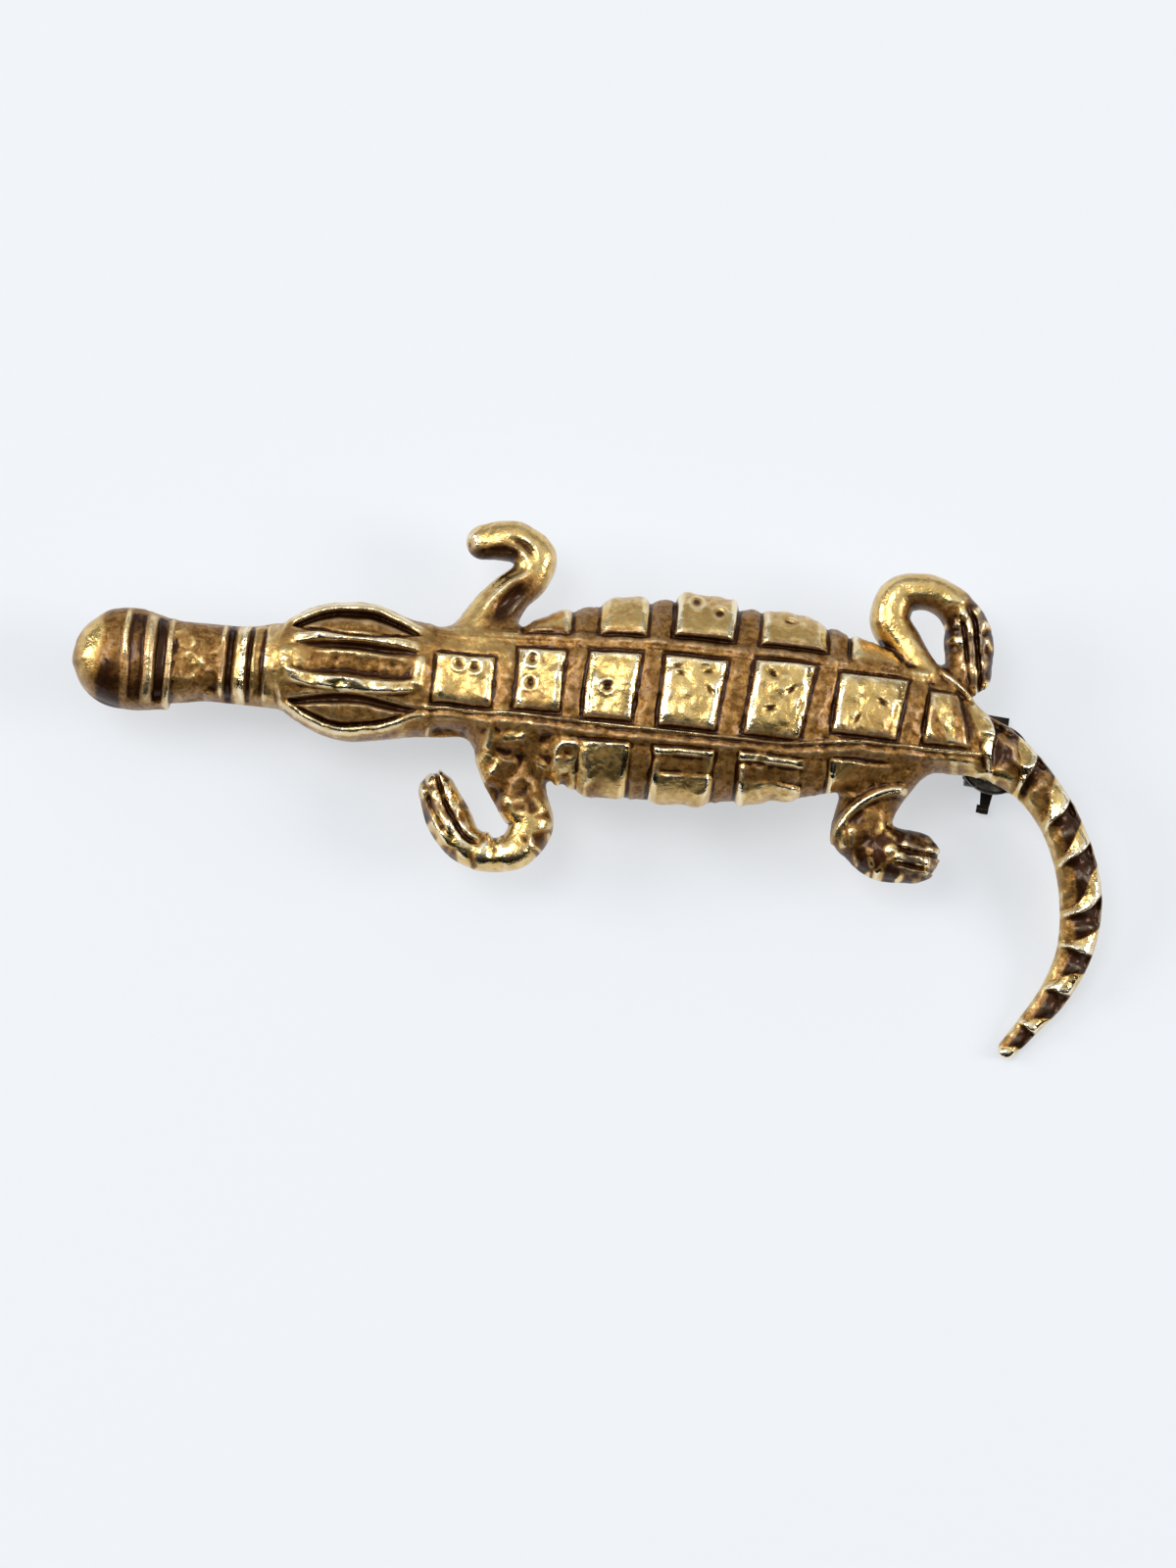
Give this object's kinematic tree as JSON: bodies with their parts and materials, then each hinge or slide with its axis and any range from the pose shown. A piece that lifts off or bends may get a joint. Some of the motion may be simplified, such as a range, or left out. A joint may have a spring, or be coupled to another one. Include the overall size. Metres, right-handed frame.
{
  "type": "alligator brooch",
  "caption": "Cast brass alligator figure with scale plates and a curled rope-like tail; a hinged pin stem and a turning safety catch on its flat back fasten it to cloth.",
  "frame": {"origin": "centre of the figure's outline seen from above, on the surface that the brooch lies on, decorated face up", "axes": "+X along the spine from the snout to the tail, +Y to the animal's right side, +Z out of the decorated face; the back with the pin faces -Z"},
  "size_m": [0.0699, 0.0321, 0.0109],
  "materials": {
    "aged_cast_brass": "cast, tumbled and aged: polished gold on the high places, brown patina in the recesses",
    "darkened_findings": "pressed sheet, blackened by age",
    "solder": "dull grey solder, run and left as it set",
    "steel_pin": "drawn wire, slightly tarnished"
  },
  "bodies": {
    "brooch": {"alligator_casting": "aged_cast_brass", "hinge_solder": "solder", "hinge_base": "darkened_findings", "hinge_bracket": "darkened_findings", "hinge_rivet": "darkened_findings", "catch_solder": "solder", "catch_base": "darkened_findings", "catch_housing": "darkened_findings"},
    "pin": {"pin_stem": "steel_pin"},
    "safety_lock": {"catch_rotor": "darkened_findings"}
  },
  "joints": [
    {"name": "pin_hinge", "type": "hinge", "parent": "brooch", "child": "pin", "pos_m": [-0.006, 0.0059, 0.0015], "axis": [0.0732, 0.9973, 0], "range_deg": [0, 98]},
    {"name": "catch_turn", "type": "hinge", "parent": "brooch", "child": "safety_lock", "pos_m": [0.02661, 0.00351, 0.0015], "axis": [0.9973, -0.0732, 0], "range_deg": [0, 50]}
  ]
}
